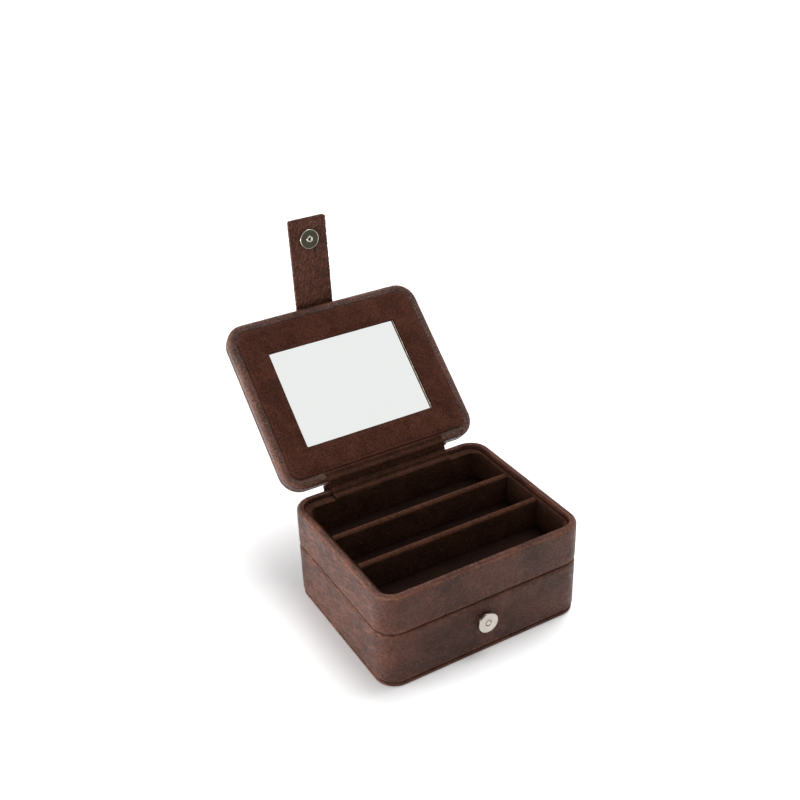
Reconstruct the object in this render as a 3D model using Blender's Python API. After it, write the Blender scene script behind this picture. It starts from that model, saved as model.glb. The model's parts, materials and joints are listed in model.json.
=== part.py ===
"""Two-tier leather jewellery case, standing open.

A lower tier, a tray hinged on top of it, and a mirrored lid with a snap strap, hinged on the tray.
Metres, +Z up, -Y is the front, origin under the centre of the base.
"""

from math import cos, pi, radians, sin

import bmesh
import bpy
from mathutils import Vector

MM = 0.001

# Driving dimensions
WIDTH = 150 * MM
DEPTH = 125.2 * MM
LOWER_HEIGHT = 40.9 * MM  # from the table to the seam between the tiers
TRAY_HEIGHT = 29.0 * MM
CORNER_RADIUS = 14.5 * MM  # of the case's outline, seen from above
GAP = 0.3 * MM  # clearance between pieces that touch on the real case

# Walls, from the outside inwards: leather, board, the leather turned in over the rim, suede lining
LEATHER = 1.0 * MM
BOARD = 2.3 * MM
TURN_IN = 0.7 * MM
TURN_IN_DEPTH = 7 * MM
LINING_START = 5.0 * MM
LINING_END = 7.6 * MM
LINING_DROP = 3.0 * MM  # how far the lining's top edge lies below the leather rim
RIM = LEATHER + BOARD + TURN_IN + 2 * GAP
TOP_ROUND = 2.8 * MM
RIM_INNER_ROUND = 0.8 * MM
LIP_ROUND = 2.2 * MM
PANEL = 2.3 * MM  # thickness of the leather-wrapped bottom panels
PANEL_INSET = 0.5 * MM
PANEL_ROUND = 0.9 * MM
TRAY_PANEL_ROUND = 0.3 * MM
FLOOR_PAD = 2.0 * MM
FLOOR_PAD_ROUND = 0.5 * MM

# Tray channels
REAR_LINING = 11.5 * MM  # from the case's rear face to the rear channel
DIVIDER = 4.6 * MM
REAR_DIVIDER_Y = 15.6 * MM
FRONT_DIVIDER_Y = -18.6 * MM
STUD_HOLE_RADIUS = 0.6 * MM
STUD_HOLE_DROP = 11.5 * MM  # below the divider's top
STUD_HOLES_REAR = (-47.5 * MM, -28 * MM, 28.5 * MM, 47.5 * MM)
STUD_HOLES_FRONT = (-45 * MM, -27.5 * MM, -7.5 * MM, 11.5 * MM)

# Lower tier's compartments
CROSS_DIVIDER_X = -8 * MM
RING_ROLLS = 5
RING_ROLL_HEIGHT = 24 * MM
RING_ROLL_FOOT = 2 * MM  # of the bevel along each side of a roll's flat underside
RING_ROLL_ROOM = 3 * MM  # left free where the lining's corners are round

# Lid, in its own frame: x across, v up the lid from its hinge edge, t from its suede face to its outside
LID_LENGTH = 125 * MM
LID_THICKNESS = 10.5 * MM
LID_FRAME = 7.0 * MM  # thickness of the padded frame without the outer panel
LID_OPEN = radians(42)  # slope of the open lid above the horizontal
LID_PIVOT = Vector((0, DEPTH / 2 + 0.45 * MM, LOWER_HEIGHT + TRAY_HEIGHT + 4.0 * MM))
PIVOT_V = -0.42 * MM  # the hinge axis in the lid's frame
PIVOT_T = 3.5 * MM
LID_FACE_ROUND = 3.0 * MM
LID_BACK_ROUND = 1.4 * MM  # of the frame, where the outer panel lies on it
LID_SKIN = 0.8 * MM
LID_CORE_INSET = 1.1 * MM
LID_PANEL_INSET = 0.2 * MM
LID_PANEL_ROUND = 1.2 * MM
PAD_INSET = 6.4 * MM
PAD_PROUD = 0.8 * MM
PAD_BACK = 0.9 * MM
MIRROR_OPENING = (99.8 * MM, 72.1 * MM)
MIRROR_CORNER = 0.6 * MM
MIRROR_CENTRE_X = -0.4 * MM
MIRROR_LAP = 1.6 * MM  # how far the mirror runs under the pad on each side
MIRROR_T = 1.3 * MM
MIRROR_THICKNESS = 2.0 * MM
ADHESIVE_INSET = 3 * MM  # from the mirror's opening to the adhesive's edge
ADHESIVE_CORNER = 2 * MM
ADHESIVE_THICKNESS = 0.6 * MM

# Hinge leather and lining
HINGE_LEATHER_WIDTH = 97 * MM
HINGE_LINING_WIDTH = 91 * MM
HINGE_LEATHER = 1.0 * MM
HINGE_LINING = 0.9 * MM
SPINE_REACH = 11 * MM  # of the spine leather above and below the tiers' seam

# Strap, in its own frame: y along it from the fold, z towards its inner face
STRAP_WIDTH = 28.6 * MM
STRAP_LAYER = 0.95 * MM
STRAP_FOLD_V = 126.5 * MM
STRAP_FOLD_T = 7.55 * MM
STRAP_REST = radians(45)  # from straight on with the lid, to where it stands
STRAP_START = 2.2 * MM
STRAP_TIP = 66.7 * MM
STRAP_SNAP = 51.8 * MM
STRAP_ANCHOR = 24 * MM
STRAP_EDGE_SOFT = 0.25 * MM
STRAP_TIP_ROUND = 1.8 * MM
STRAP_X = -0.7 * MM  # the strap is sewn in a little left of the middle

# Magnetic snap
SNAP_X = -2.1 * MM
SNAP_Z = 25.2 * MM
SNAP_RADIUS = 7.1 * MM
SNAP_BODY_RADIUS = 6.4 * MM
SNAP_BODY_LENGTH = 2.6 * MM
SNAP_PLATE = 0.9 * MM
SNAP_HOLE_RADIUS = 2.3 * MM
SNAP_STEM_RADIUS = 2.0 * MM
SNAP_WASHER = 0.8 * MM
STRAP_DISC = 1.4 * MM
RIVET_HOLE_RADIUS = 1.6 * MM
RIVET_BORE = 0.6 * MM
RIVET_RADIUS = 1.3 * MM
RIVET_HEAD_RADIUS = 2.3 * MM

CORNER_STEPS = 8
ROUND_STEPS = 4
CIRCLE_STEPS = 32
RIM_TOP = LOWER_HEIGHT + TRAY_HEIGHT
SEAM = GAP / 2  # half of the gap between the tiers

COLOURS = {
    "leather": ((0.105, 0.043, 0.027), 0.45, 0.0),
    "board": ((0.30, 0.22, 0.15), 0.9, 0.0),
    "suede": ((0.045, 0.018, 0.010), 0.95, 0.0),
    "mirror": ((0.85, 0.87, 0.86), 0.03, 1.0),
    "nickel": ((0.66, 0.62, 0.56), 0.3, 1.0),
    "foam": ((0.7, 0.7, 0.68), 0.9, 0.0),
}


def clear_scene():
    for obj in list(bpy.data.objects):
        bpy.data.objects.remove(obj, do_unlink=True)


def material(name):
    found = bpy.data.materials.get(name)
    if found:
        return found
    colour, roughness, metallic = COLOURS[name.split(".")[0]]
    made = bpy.data.materials.new(name)
    made.use_nodes = True
    shader = made.node_tree.nodes["Principled BSDF"]
    shader.inputs["Base Color"].default_value = (*colour, 1)
    shader.inputs["Roughness"].default_value = roughness
    shader.inputs["Metallic"].default_value = metallic
    return made


def arc(centre, radius, start, end, steps=ROUND_STEPS):
    """Points on a circle from start to end, both in degrees."""
    turns = [radians(start + (end - start) * step / steps) for step in range(steps + 1)]
    return [(centre[0] + radius * cos(a), centre[1] + radius * sin(a)) for a in turns]


def rounded_rectangle(low, high, radius, steps=CORNER_STEPS):
    """The outline of a rectangle with round corners, counter-clockwise."""
    corners = ((high[0], low[1], 1, -1, 270), (high[0], high[1], 1, 1, 0),
               (low[0], high[1], -1, 1, 90), (low[0], low[1], -1, -1, 180))
    points = []
    for x, y, side_x, side_y, start in corners:
        points += arc((x - side_x * radius, y - side_y * radius), radius, start, start + 90, steps)
    return points


def case_outline(inset, rear_inset=None):
    """The case's outline moved inwards; rear_inset moves its rear side further."""
    rear = inset if rear_inset is None else rear_inset
    low = (-WIDTH / 2 + inset, -DEPTH / 2 + inset)
    high = (WIDTH / 2 - inset, DEPTH / 2 - rear)
    return rounded_rectangle(low, high, max(CORNER_RADIUS - inset, 2 * MM))


def lid_outline(inset):
    """The lid's outline in x and v, moved inwards."""
    low = (-WIDTH / 2 + inset, inset)
    high = (WIDTH / 2 - inset, LID_LENGTH - inset)
    return rounded_rectangle(low, high, max(CORNER_RADIUS - inset, 2 * MM))


def add(name, mesh_builder, material_name, parent=None, smooth=30):
    """Turns a bmesh into a named object, with its faces pointing out."""
    bmesh.ops.recalc_face_normals(mesh_builder, faces=mesh_builder.faces)
    mesh = bpy.data.meshes.new(name)
    mesh_builder.to_mesh(mesh)
    mesh_builder.free()
    mesh.shade_smooth()
    mesh.set_sharp_from_angle(angle=radians(smooth))
    mesh.materials.append(material(material_name))
    obj = bpy.data.objects.new(name, mesh)
    bpy.context.scene.collection.objects.link(obj)
    obj.parent = parent
    return obj


def loft(rings, closed):
    """Skins rings of equally many points: closed joins the last ring to the first, open caps both ends."""
    builder = bmesh.new()
    loops = [[builder.verts.new(point) for point in ring] for ring in rings]
    count = len(loops[0])
    pairs = list(zip(loops, loops[1:]))
    if closed:
        pairs.append((loops[-1], loops[0]))
    for below, above in pairs:
        for i in range(count):
            j = (i + 1) % count
            builder.faces.new((below[i], below[j], above[j], above[i]))
    if not closed:
        builder.faces.new(reversed(loops[0]))
        builder.faces.new(loops[-1])
    return builder


def case_ring(name, profile, material_name, rear_inset=None):
    """A ring round the case: a closed profile of (inset, z), and optionally a thicker rear."""
    rings = []
    for inset, z in profile:
        rear = rear_inset if rear_inset and inset >= LINING_END - 0.5 * MM else None
        rings.append([(x, y, z) for x, y in case_outline(inset, rear)])
    return add(name, loft(rings, closed=True), material_name)


def case_slab(name, profile, material_name):
    """A plate filling the case's outline: a profile of (inset, z) from its bottom to its top."""
    rings = [[(x, y, z) for x, y in case_outline(inset)] for inset, z in profile]
    return add(name, loft(rings, closed=False), material_name)


def rounded_slab_profile(inset, low, high, radius):
    """The edge of a plate with rounded edges, as (inset, height) pairs."""
    lower = arc((inset + radius, low + radius), radius, 270, 180)
    upper = arc((inset + radius, high - radius), radius, 180, 90)
    return lower + upper


def prism(name, outline, start, end, material_name, axis="X", parent=None):
    """An outline extruded along an axis. The outline holds the two other coordinates, in order."""
    def place(point, along):
        a, b = point
        return {"X": (along, a, b), "Y": (a, along, b), "Z": (a, b, along)}[axis]
    rings = [[place(point, along) for point in outline] for along in (start, end)]
    return add(name, loft(rings, closed=False), material_name, parent)


def turned(name, profile, centre, axis, material_name, parent=None):
    """A round piece: a closed profile of (radius, along) turned about an axis through its centre."""
    rings = []
    for step in range(CIRCLE_STEPS):
        angle = 2 * pi * step / CIRCLE_STEPS
        ring = []
        for radius, along in profile:
            a, b = radius * cos(angle), radius * sin(angle)
            offset = (a, along, b) if axis == "Y" else (a, b, along)
            ring.append(Vector(centre) + Vector(offset))
        rings.append(ring)
    return add(name, loft(rings, closed=True), material_name, parent)


def disc(name, sections, centre, axis, material_name, parent=None, steps=CIRCLE_STEPS):
    """A solid round piece: (radius, along) sections from one end to the other."""
    rings = []
    for radius, along in sections:
        ring = []
        for step in range(steps):
            angle = 2 * pi * step / steps
            a, b = radius * cos(angle), radius * sin(angle)
            offset = (a, along, b) if axis == "Y" else (a, b, along)
            ring.append(Vector(centre) + Vector(offset))
        rings.append(ring)
    return add(name, loft(rings, closed=False), material_name, parent)


def cut(obj, cutter):
    """Cuts a helper solid out of a piece; the helper itself isn't part of the case."""
    cutter.hide_render = True
    cutter.display_type = "WIRE"
    modifier = obj.modifiers.new(cutter.name, "BOOLEAN")
    modifier.operation = "DIFFERENCE"
    modifier.object = cutter


def pivot(name, location, turn, parent=None):
    """An empty to hang pieces on, turned about X."""
    empty = bpy.data.objects.new(name, None)
    bpy.context.scene.collection.objects.link(empty)
    empty.parent = parent
    empty.location = location
    empty.rotation_euler = (turn, 0, 0)
    return empty


def wrap_profile(low, high):
    """The leather round a tier's wall, turned under at its foot and in over its rim, as (inset, z)."""
    outside = [(LIP_ROUND + 0.3 * MM, low)]
    outside += arc((LIP_ROUND, low + LIP_ROUND), LIP_ROUND, 270, 180)
    outside += arc((TOP_ROUND, high - TOP_ROUND), TOP_ROUND, 180, 90, ROUND_STEPS + 1)
    outside += arc((RIM - RIM_INNER_ROUND, high - RIM_INNER_ROUND), RIM_INNER_ROUND, 90, 0, 3)
    outside.append((RIM, high - TURN_IN_DEPTH))
    inside = [(RIM - TURN_IN, high - TURN_IN_DEPTH), (RIM - TURN_IN, high - LEATHER)]
    inside += arc((TOP_ROUND, high - TOP_ROUND), TOP_ROUND - LEATHER, 90, 180, ROUND_STEPS + 1)
    inside += arc((LIP_ROUND, low + LIP_ROUND), LIP_ROUND - LEATHER, 180, 270)
    inside.append((LIP_ROUND + 0.3 * MM, low + LEATHER))
    return outside + inside


def board_profile(low, high):
    """The board inside a tier's wall, bevelled where the leather turns over its top."""
    outer = LEATHER + GAP
    inner = outer + BOARD
    top = high - LEATHER - GAP
    bevel = TOP_ROUND - LEATHER
    foot = LIP_ROUND - LEATHER
    return [(inner, low), (outer + foot, low), (outer, low + foot), (outer, top - bevel),
            (outer + bevel * 0.3, top - bevel * 0.3), (outer + bevel, top), (inner, top)]


def lining_profile(low, high):
    """A suede-covered card wall with a soft top edge."""
    half = (LINING_END - LINING_START) / 2
    top = arc((LINING_START + half, high - half), half, 180, 0, 6)
    return [(LINING_END, low), (LINING_START, low)] + top


def divider(name, y, holes, low, high):
    """A suede-covered partition across the tray, with small pierced holes for ear studs."""
    half = DIVIDER / 2
    end = WIDTH / 2 - LINING_END - GAP
    outline = [(y - half, low), (y + half, low)] + arc((y, high - half), half, 0, 180, 6)
    obj = prism(name, outline, -end, end, "suede." + name)
    for number, x in enumerate(holes):
        centre = (x, y, high - STUD_HOLE_DROP)
        sections = [(STUD_HOLE_RADIUS, -DIVIDER), (STUD_HOLE_RADIUS, DIVIDER)]
        cut(obj, disc(f"{name}_hole_{number}", sections, centre, "Y", "suede.cutter", steps=8))


def tier(prefix, low, high, wall_low, rear_inset=None):
    """The leather wrap, the board and the lining ring of one tier."""
    wrap = case_ring(prefix + "_leather_wrap", wrap_profile(wall_low, high), "leather." + prefix)
    board_low = max(low + PANEL + 2 * GAP, wall_low + LEATHER + GAP)
    board = case_ring(prefix + "_wall_board", board_profile(board_low, high), "board." + prefix)
    pad_low = low + PANEL + GAP
    pad_high = pad_low + FLOOR_PAD
    pad_inset = LEATHER + BOARD + 2 * GAP
    pad = rounded_slab_profile(pad_inset, pad_low, pad_high, FLOOR_PAD_ROUND)
    case_slab(prefix + "_floor_pad", pad, "suede." + prefix + "_floor")
    lining = lining_profile(pad_high + GAP, high - LINING_DROP)
    case_ring(prefix + "_wall_lining", lining, "suede." + prefix + "_lining", rear_inset)
    return wrap, board


def lower_tier():
    panel = rounded_slab_profile(PANEL_INSET, 0, PANEL, PANEL_ROUND)
    case_slab("base_panel", panel, "leather.base_panel")
    top = LOWER_HEIGHT - SEAM
    wrap, board = tier("lower", 0, top, PANEL + GAP)
    floor = PANEL + 2 * GAP + FLOOR_PAD
    lower_dividers(floor, top - LINING_DROP)
    ring_rolls(floor)
    front_snap(wrap, board)


def lower_dividers(floor, top):
    half = DIVIDER / 2
    inner_y = DEPTH / 2 - LINING_END - GAP
    inner_x = WIDTH / 2 - LINING_END - GAP
    crown = arc((CROSS_DIVIDER_X, top - half), half, 0, 180, 6)
    outline = [(CROSS_DIVIDER_X - half, floor), (CROSS_DIVIDER_X + half, floor)] + crown
    prism("lower_cross_divider", outline, -inner_y, inner_y, "suede.cross_divider", axis="Y")
    outline = [(-half, floor), (half, floor)] + arc((0, top - half), half, 0, 180, 6)
    start = CROSS_DIVIDER_X + half + GAP
    prism("lower_long_divider", outline, start, inner_x, "suede.long_divider")


def ring_rolls(floor):
    """Padded rolls side by side: rings are pushed between two of them."""
    start = -WIDTH / 2 + LINING_END + RING_ROLL_ROOM
    end = CROSS_DIVIDER_X - DIVIDER / 2 - GAP
    space = DEPTH - 2 * LINING_END - RING_ROLL_ROOM
    pitch = space / RING_ROLLS
    radius = (pitch - GAP) / 2
    for number in range(RING_ROLLS):
        y = -space / 2 + pitch * (number + 0.5)
        crown = arc((y, floor + RING_ROLL_HEIGHT - radius), radius, 0, 180, 10)
        foot = RING_ROLL_FOOT
        outline = [(y - radius + foot, floor), (y + radius - foot, floor), (y + radius, floor + foot)]
        outline += crown + [(y - radius, floor + foot)]
        prism(f"ring_roll_{number + 1}", outline, start, end, "suede.ring_roll")


def front_snap(wrap, board):
    """The magnetic snap's half on the case: stem and cup, face plate, and the washer behind the wall."""
    front = -DEPTH / 2
    centre = (SNAP_X, front, SNAP_Z)
    reach = LEATHER + BOARD + GAP  # depth of the wall behind the leather's face
    stem_end = reach + 2 * GAP + SNAP_WASHER
    body = -GAP - SNAP_BODY_LENGTH
    hole = SNAP_STEM_RADIUS + GAP
    for target in (wrap, board):
        sections = [(hole, -3 * MM), (hole, reach + 3 * MM)]
        cut(target, disc(target.name + "_snap_hole", sections, centre, "Y", "board.cutter"))
    soft = 0.4 * MM
    sections = [(SNAP_BODY_RADIUS - soft, body), (SNAP_BODY_RADIUS, body + soft), (SNAP_BODY_RADIUS, -GAP),
                (SNAP_STEM_RADIUS, -GAP), (SNAP_STEM_RADIUS, stem_end)]
    disc("snap_cup", sections, centre, "Y", "nickel.snap_cup")
    back = body - 0.1 * MM
    face = back - SNAP_PLATE
    profile = [(SNAP_HOLE_RADIUS, back), (SNAP_RADIUS - soft, back), (SNAP_RADIUS, back - soft),
               (SNAP_RADIUS, face + soft), (SNAP_RADIUS - soft, face), (SNAP_HOLE_RADIUS + soft, face),
               (SNAP_HOLE_RADIUS, face + soft)]
    turned("snap_face_plate", profile, centre, "Y", "nickel.snap_face")
    inner = SNAP_STEM_RADIUS + 0.15 * MM
    near, far = reach + GAP, reach + GAP + SNAP_WASHER
    profile = [(inner, near), (SNAP_BODY_RADIUS, near), (SNAP_BODY_RADIUS, far), (inner, far)]
    turned("snap_washer", profile, centre, "Y", "nickel.snap_washer")


def tray():
    low = LOWER_HEIGHT + SEAM
    panel_inset = LIP_ROUND + 0.3 * MM + GAP
    panel = rounded_slab_profile(panel_inset, low, low + PANEL, TRAY_PANEL_ROUND)
    case_slab("tray_bottom_panel", panel, "leather.tray_bottom")
    tier("tray", low, RIM_TOP, low, REAR_LINING)
    floor = low + PANEL + 2 * GAP + FLOOR_PAD
    top = RIM_TOP - LINING_DROP
    divider("divider_rear", REAR_DIVIDER_Y, STUD_HOLES_REAR, floor, top)
    divider("divider_front", FRONT_DIVIDER_Y, STUD_HOLES_FRONT, floor, top)


def lid_point(v, t):
    """World (y, z) of a point of the open lid."""
    v, t = v - PIVOT_V, t - PIVOT_T
    return (LID_PIVOT.y + v * cos(LID_OPEN) + t * sin(LID_OPEN),
            LID_PIVOT.z + v * sin(LID_OPEN) - t * cos(LID_OPEN))


def about_axis(v, t):
    """(y, z) from the lid's hinge axis of a point of the lid."""
    return (v - PIVOT_V, PIVOT_T - t)


def lid_rings(profile):
    """Rings of the lid's frame from (inset, t) pairs, placed about the hinge axis."""
    return [[(x, *about_axis(v, t)) for x, v in lid_outline(inset)] for inset, t in profile]


def lid(parent):
    back, inside = LID_BACK_ROUND, LID_FRAME - LID_SKIN
    skin = [(PAD_INSET - GAP, 0)] + arc((LID_FACE_ROUND, LID_FACE_ROUND), LID_FACE_ROUND, 270, 180, 5)
    skin += arc((back, LID_FRAME - back), back, 180, 90, 3) + [(PAD_INSET, LID_FRAME), (PAD_INSET, inside)]
    skin += [(LID_SKIN + 0.8 * MM, inside), (LID_SKIN, inside - 0.8 * MM)]
    skin += arc((LID_FACE_ROUND, LID_FACE_ROUND), LID_FACE_ROUND - LID_SKIN, 180, 270, 5)
    skin += [(PAD_INSET - GAP, LID_SKIN)]
    frame = add("lid_frame_leather", loft(lid_rings(skin), closed=True), "leather.lid_frame", parent)

    inset, low, high = LID_CORE_INSET, LID_SKIN + GAP, LID_FRAME - LID_SKIN - GAP
    core = [(inset + 2 * MM, low), (inset, low + 2 * MM), (inset, high - MM), (inset + MM, high)]
    core = add("lid_board", loft(lid_rings(core), closed=False), "board.lid", parent)

    outer = rounded_slab_profile(LID_PANEL_INSET, LID_FRAME + 2 * GAP, LID_THICKNESS, LID_PANEL_ROUND)
    outer = add("lid_outer_panel", loft(lid_rings(outer), closed=False), "leather.lid_panel", parent)

    mirror_and_pad(core, parent)
    strap_end((frame, outer), parent)


def strap_end(around, parent):
    """The strap's end, sewn in between the lid's frame and outer panel, and the pocket it lies in."""
    half = STRAP_WIDTH / 2
    start = LID_LENGTH - STRAP_ANCHOR
    inner, outer = STRAP_FOLD_T - STRAP_LAYER - GAP, STRAP_FOLD_T + STRAP_LAYER + GAP

    def section(v_low, v_high, t_low, t_high):
        corners = ((v_low, t_low), (v_high, t_low), (v_high, t_high), (v_low, t_high))
        return [about_axis(v, t) for v, t in corners]
    end = section(start, LID_LENGTH - 2 * GAP, inner + GAP, outer - GAP)
    prism("strap_anchor", end, STRAP_X - half, STRAP_X + half, "leather.strap_anchor", parent=parent)
    room = section(start - 0.5 * MM, LID_LENGTH + 3 * MM, inner, outer)
    half += GAP
    pocket = prism("strap_pocket", room, STRAP_X - half, STRAP_X + half, "board.cutter", parent=parent)
    for target in around:
        cut(target, pocket)


def lid_opening(grown, corner=MIRROR_CORNER):
    """The outline of the mirror's opening in x and v, grown on every side."""
    half_x, half_v = MIRROR_OPENING[0] / 2 + grown, MIRROR_OPENING[1] / 2 + grown
    low = (MIRROR_CENTRE_X - half_x, LID_LENGTH / 2 - half_v)
    high = (MIRROR_CENTRE_X + half_x, LID_LENGTH / 2 + half_v)
    return rounded_rectangle(low, high, corner)


def lid_plate(name, outline, near, far, material_name, parent):
    """A plate of the lid between two depths t."""
    rings = [[(x, *about_axis(v, t)) for x, v in outline] for t in (near, far)]
    return add(name, loft(rings, closed=False), material_name, parent)


def mirror_and_pad(core, parent):
    opening = lid_opening(0)
    back = MIRROR_T + MIRROR_THICKNESS
    lid_plate("mirror", lid_opening(MIRROR_LAP), MIRROR_T, back, "mirror", parent)
    near = back + GAP / 2
    glue = lid_opening(-ADHESIVE_INSET, ADHESIVE_CORNER)
    lid_plate("mirror_adhesive", glue, near, near + ADHESIVE_THICKNESS, "foam", parent)
    room = lid_opening(MIRROR_LAP + GAP)
    cut(core, lid_plate("mirror_room", room, 0, near + GAP / 2 + ADHESIVE_THICKNESS, "board.cutter", parent))

    outside = lid_outline(PAD_INSET)
    soft = lid_outline(PAD_INSET + 0.6 * MM)
    inner_soft = lid_opening(0.4 * MM, 0.8 * MM)
    levels = [(outside, PAD_BACK), (outside, 0.5 * MM - PAD_PROUD), (soft, -PAD_PROUD),
              (inner_soft, -PAD_PROUD), (opening, 0.4 * MM - PAD_PROUD), (opening, PAD_BACK)]
    rings = [[(x, *about_axis(v, t)) for x, v in ring] for ring, t in levels]
    add("lid_pad", loft(rings, closed=True), "suede.lid_pad", parent)


def band(name, path, thickness, width, material_name):
    """A strip across the case: a path in (y, z), given a thickness to its right-hand side."""
    normals = []
    for index in range(len(path)):
        before, after = path[max(index - 1, 0)], path[min(index + 1, len(path) - 1)]
        along = Vector((after[0] - before[0], after[1] - before[1])).normalized()
        normals.append(Vector((along.y, -along.x)))
    far = [(p[0] + n.x * thickness, p[1] + n.y * thickness) for p, n in zip(path, normals)]
    return prism(name, list(path) + far[::-1], -width / 2, width / 2, material_name)


def hinges():
    """The spine leather across the tiers' seam, the leather that carries the lid, and the suede over it."""
    rear = DEPTH / 2 + GAP
    band("spine_leather", [(rear, LOWER_HEIGHT - SPINE_REACH), (rear, LOWER_HEIGHT + SPINE_REACH)],
         HINGE_LEATHER, HINGE_LEATHER_WIDTH, "leather.spine")
    clear = -GAP - 0.2 * MM
    path = [(rear, RIM_TOP - 12 * MM), (rear, RIM_TOP - 4 * MM), (rear + 0.4 * MM, RIM_TOP - 2.2 * MM)]
    path += [lid_point(clear - HINGE_LEATHER, t * MM) for t in (8.6, 6.0, 3.5, 1.5)]
    band("lid_hinge_leather", path, HINGE_LEATHER, HINGE_LEATHER_WIDTH, "leather.lid_hinge")

    ledge = RIM_TOP - LINING_DROP + GAP
    rim_inner = DEPTH / 2 - RIM
    over = HINGE_LINING + GAP
    channel = DEPTH / 2 - REAR_LINING
    path = [(channel + 0.4 * MM, ledge + HINGE_LINING), (rim_inner - 1.0 * MM, ledge + HINGE_LINING)]
    path += [(rim_inner - 0.5 * MM, RIM_TOP - 0.4 * MM + HINGE_LINING)]
    path += [(rim_inner + 1.2 * MM, RIM_TOP + over)]
    path += [lid_point(-2.9 * MM, 1.2 * MM), lid_point(-1.2 * MM, -over)]
    path += [lid_point(PAD_INSET - 2 * GAP, -over)]
    band("lid_hinge_lining", path, HINGE_LINING, HINGE_LINING_WIDTH, "suede.hinge_lining")


def strap_layer(name, low, parent):
    half, soft = STRAP_WIDTH / 2, STRAP_EDGE_SOFT
    high = low + STRAP_LAYER
    rings = []
    for shrink, z in ((soft, low), (0, low + soft), (0, high - soft), (soft, high)):
        start, end = (shrink - half, STRAP_START + shrink), (half - shrink, STRAP_TIP - shrink)
        rings.append([(x, y, z) for x, y in rounded_rectangle(start, end, STRAP_TIP_ROUND - shrink, 5)])
    return add(name, loft(rings, closed=False), "leather." + name, parent)


def strap(parent):
    """The free part of the strap beyond its fold, in two layers, with its half of the snap."""
    inner_layer = strap_layer("strap_inner_leather", GAP / 2, parent)
    strap_layer("strap_outer_leather", -GAP / 2 - STRAP_LAYER, parent)

    centre = (0, STRAP_SNAP, GAP / 2 + STRAP_LAYER)
    hole = [(RIVET_HOLE_RADIUS, -3 * MM), (RIVET_HOLE_RADIUS, 3 * MM)]
    cut(inner_layer, disc("strap_rivet_hole", hole, centre, "Z", "board.cutter", parent))
    soft = 0.3 * MM
    low, high = GAP, GAP + STRAP_DISC
    dish = high - 0.15 * MM
    profile = [(RIVET_HOLE_RADIUS, low), (SNAP_RADIUS - soft, low), (SNAP_RADIUS, low + soft),
               (SNAP_RADIUS, high - soft), (SNAP_RADIUS - soft, high), (SNAP_RADIUS - 2 * soft, dish),
               (RIVET_HOLE_RADIUS, dish)]
    turned("strap_snap_disc", profile, centre, "Z", "nickel.strap_disc", parent)

    tail, seat, head = -STRAP_LAYER + 0.1 * MM, high + 0.15 * MM, high + 0.7 * MM
    profile = [(RIVET_BORE, tail), (RIVET_RADIUS, tail), (RIVET_RADIUS, seat), (RIVET_HEAD_RADIUS, seat),
               (RIVET_HEAD_RADIUS, head - 0.2 * MM), (RIVET_HEAD_RADIUS - 0.4 * MM, head),
               (RIVET_BORE + soft, head), (RIVET_BORE, head - soft)]
    turned("strap_snap_rivet", profile, centre, "Z", "nickel.rivet", parent)


clear_scene()
lower_tier()
tray()
hinges()
lid_axis = pivot("lid_axis", LID_PIVOT, LID_OPEN)
lid(lid_axis)
fold = (STRAP_X, STRAP_FOLD_V - PIVOT_V, PIVOT_T - STRAP_FOLD_T)
strap_axis = pivot("strap_axis", fold, STRAP_REST, lid_axis)
strap(strap_axis)
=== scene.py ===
"""Looks of the two-tier leather jewellery case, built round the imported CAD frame."""

import json
from math import cos, pi, radians, sin, sqrt

import bpy
import numpy as np
from mathutils import Matrix, Vector, noise


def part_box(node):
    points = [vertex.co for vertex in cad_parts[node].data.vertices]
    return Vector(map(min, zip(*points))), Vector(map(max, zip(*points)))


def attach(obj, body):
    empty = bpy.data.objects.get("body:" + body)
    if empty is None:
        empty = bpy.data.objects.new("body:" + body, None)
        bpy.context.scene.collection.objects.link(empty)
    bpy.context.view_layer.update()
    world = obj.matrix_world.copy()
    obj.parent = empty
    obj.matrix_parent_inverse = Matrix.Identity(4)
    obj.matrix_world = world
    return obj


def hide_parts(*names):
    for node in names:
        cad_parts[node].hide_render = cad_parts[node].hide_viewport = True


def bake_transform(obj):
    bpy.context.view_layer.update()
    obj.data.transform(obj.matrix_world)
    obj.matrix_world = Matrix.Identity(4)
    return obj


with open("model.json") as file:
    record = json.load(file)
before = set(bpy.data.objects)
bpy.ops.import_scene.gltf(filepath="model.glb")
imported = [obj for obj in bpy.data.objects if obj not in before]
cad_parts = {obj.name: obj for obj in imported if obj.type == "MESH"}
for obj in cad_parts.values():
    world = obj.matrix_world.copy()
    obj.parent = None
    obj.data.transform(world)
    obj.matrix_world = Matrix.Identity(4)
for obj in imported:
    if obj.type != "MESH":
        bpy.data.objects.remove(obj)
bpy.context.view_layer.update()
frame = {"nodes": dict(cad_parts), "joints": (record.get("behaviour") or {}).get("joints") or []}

MM = 0.001

# The frame's own places
BASE_LOW, BASE_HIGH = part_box("base_panel")
LOWER_LOW, LOWER_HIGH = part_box("lower_leather_wrap")
TRAY_LOW, TRAY_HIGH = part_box("tray_leather_wrap")
TRAY_PAD_LOW, TRAY_PAD_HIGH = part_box("tray_floor_pad")
LOWER_PAD_LOW, LOWER_PAD_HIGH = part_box("lower_floor_pad")
TRAY_LINING_LOW, TRAY_LINING_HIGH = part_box("tray_wall_lining")
LOWER_LINING_LOW, LOWER_LINING_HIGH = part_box("lower_wall_lining")
WIDTH = LOWER_HIGH[0] - LOWER_LOW[0]
DEPTH = LOWER_HIGH[1] - LOWER_LOW[1]
JOINTS = {joint["name"]: joint for joint in frame["joints"]}
LID_PIVOT = Vector(JOINTS["lid_hinge"]["pos_m"])
STRAP_PIVOT = Vector(JOINTS["strap_flex"]["pos_m"])
TRAY_PIVOT = Vector(JOINTS["tray_hinge"]["pos_m"])

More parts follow.
